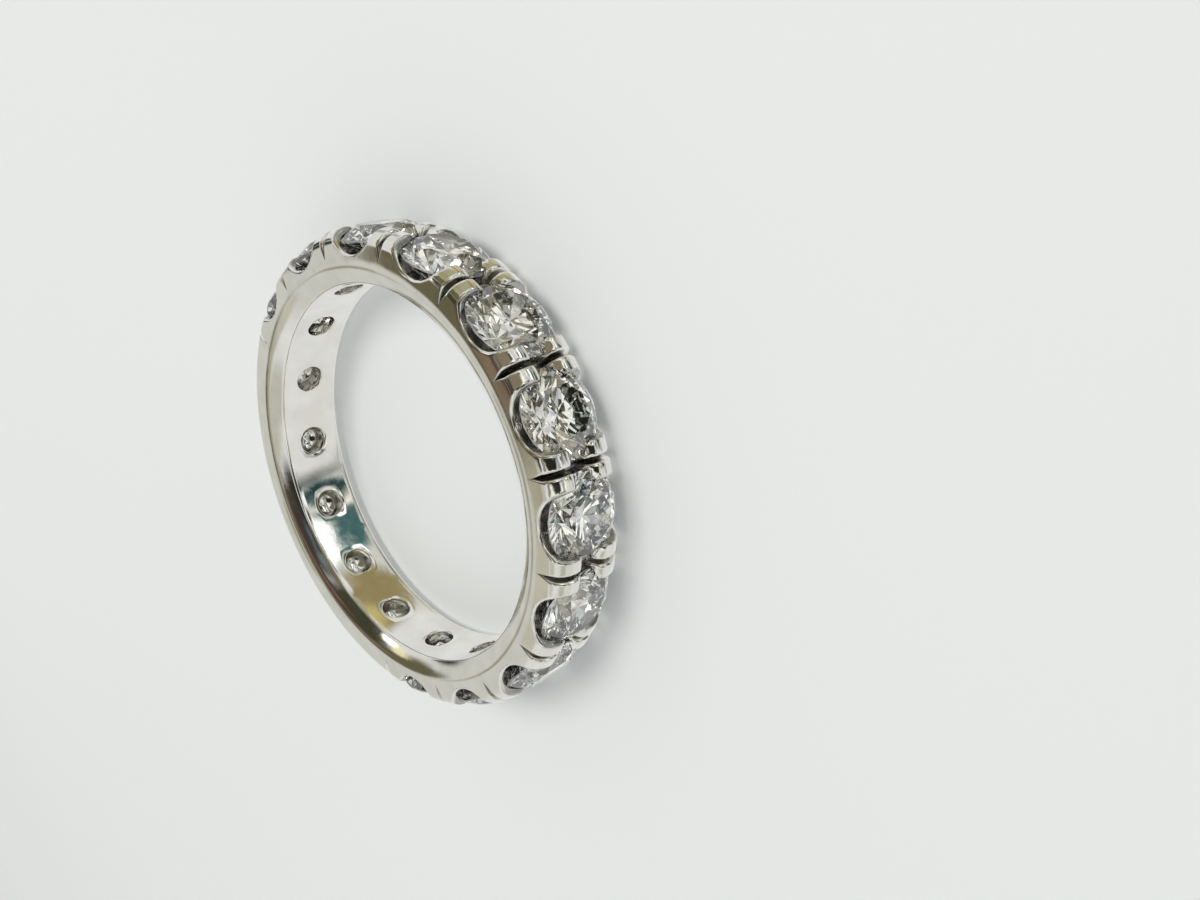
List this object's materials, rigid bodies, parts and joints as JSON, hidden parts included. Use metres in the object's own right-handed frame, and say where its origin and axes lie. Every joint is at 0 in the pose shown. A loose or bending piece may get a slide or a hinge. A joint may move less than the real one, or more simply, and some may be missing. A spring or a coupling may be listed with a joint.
{
  "type": "eternity ring",
  "caption": "Slim white gold finger ring with a long row of round brilliants in shared prongs, scalloped side walls and a plain back.",
  "frame": {"origin": "centre of the finger hole, at the height of the side face that the ring rests on", "axes": "+Z along the finger hole's axis, with the ring lying on its side; -Y towards the middle stone of the row, +Y towards the plain back; +X completes the right-handed set"},
  "size_m": [0.0218, 0.0218, 0.0037],
  "materials": {
    "white_gold": "polished white gold with fine wear",
    "diamond": "clear brilliant-cut stone"
  },
  "bodies": {
    "root": {"band": "white_gold", "stone_01": "diamond", "stone_02": "diamond", "stone_03": "diamond", "stone_04": "diamond", "stone_05": "diamond", "stone_06": "diamond", "stone_07": "diamond", "stone_08": "diamond", "stone_09": "diamond", "stone_10": "diamond", "stone_11": "diamond"}
  },
  "joints": []
}
